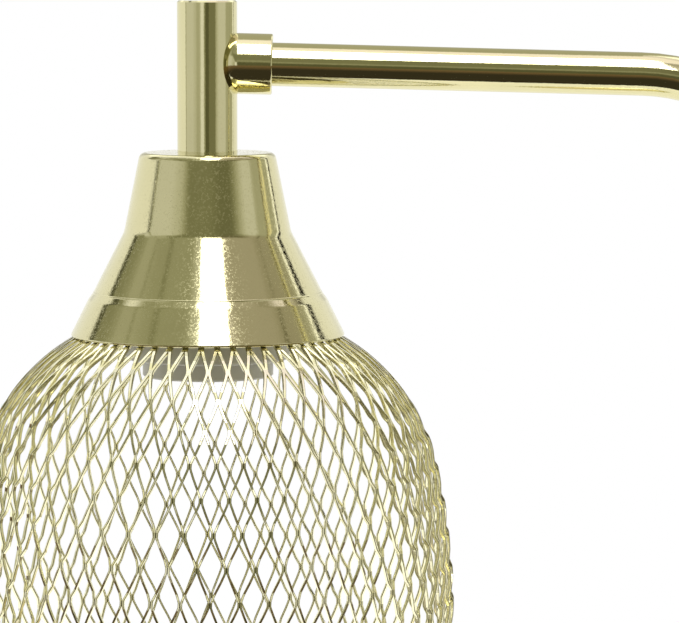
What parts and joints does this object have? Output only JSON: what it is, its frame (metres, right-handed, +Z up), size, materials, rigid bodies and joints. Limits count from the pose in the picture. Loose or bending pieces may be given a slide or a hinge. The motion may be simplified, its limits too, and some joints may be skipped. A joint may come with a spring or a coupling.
{
  "type": "wire mesh table lamp",
  "caption": "Table lamp with a round weighted base, a bent tube arm and a swivelling head: spun cap, expanded-metal mesh shade and screw lampholder.",
  "frame": {"origin": "centre of the base's underside, on the table", "axes": "+Z up along the post; -X towards the head; -Y is the front, where the push button is"},
  "size_m": [0.3551, 0.178, 0.4796],
  "materials": {
    "brass_finish": "polished pale brass",
    "mesh_brass": "bright pale brass, expanded metal",
    "zinc_plate": "zinc plated",
    "iron": "painted casting",
    "pad": "matte foam pad",
    "black_plastic": "satin",
    "white_plastic": "satin moulded",
    "ceramic": "glazed",
    "contact_metal": "bright",
    "wire_insulation": "satin"
  },
  "bodies": {
    "stand": {"base_cover": "brass_finish", "base_weight": "iron", "base_pad": "pad", "post_flange": "brass_finish", "post_bush": "zinc_plate", "base_nipple": "zinc_plate", "base_washer": "zinc_plate", "base_nut": "zinc_plate", "inlet_bushing": "black_plastic", "terminal_block": "white_plastic", "terminal_screws": "zinc_plate", "switch_body": "black_plastic", "switch_plate": "white_plastic", "switch_terminals": "contact_metal", "switch_spring": "zinc_plate", "switch_nut": "brass_finish", "switch_wires": "wire_insulation", "arm_tube": "brass_finish", "arm_bush": "zinc_plate", "swivel_stud": "zinc_plate", "swivel_nut": "zinc_plate", "arm_wires": "wire_insulation"},
    "head": {"head_tube": "brass_finish", "side_collar": "brass_finish", "tube_plug": "brass_finish", "swivel_washer": "zinc_plate", "stop_screw": "zinc_plate", "tube_foot": "zinc_plate", "head_nipple": "zinc_plate", "shade_cap": "brass_finish", "cap_washer": "zinc_plate", "cap_nut": "zinc_plate", "holder_cap": "white_plastic", "holder_body": "white_plastic", "holder_skirt": "white_plastic", "holder_core": "ceramic", "screw_shell": "contact_metal", "centre_contact": "contact_metal", "head_wires": "wire_insulation", "shade_mesh": "mesh_brass", "mesh_ring": "mesh_brass", "shade_rim": "mesh_brass"},
    "button": {"switch_button": "brass_finish"}
  },
  "joints": [
    {"name": "head_swivel", "type": "hinge", "parent": "stand", "child": "head", "pos_m": [-0.19, 0, 0.461], "axis": [0.9997, 0, -0.0262], "range_deg": [-40, 40]},
    {"name": "button_press", "type": "slide", "parent": "stand", "child": "button", "axis": [0, 0, -1], "range_m": [0, 0.0025], "stiffness_N_per_m": 300, "springref_m": -0.003, "deforming": ["switch_spring"]}
  ]
}
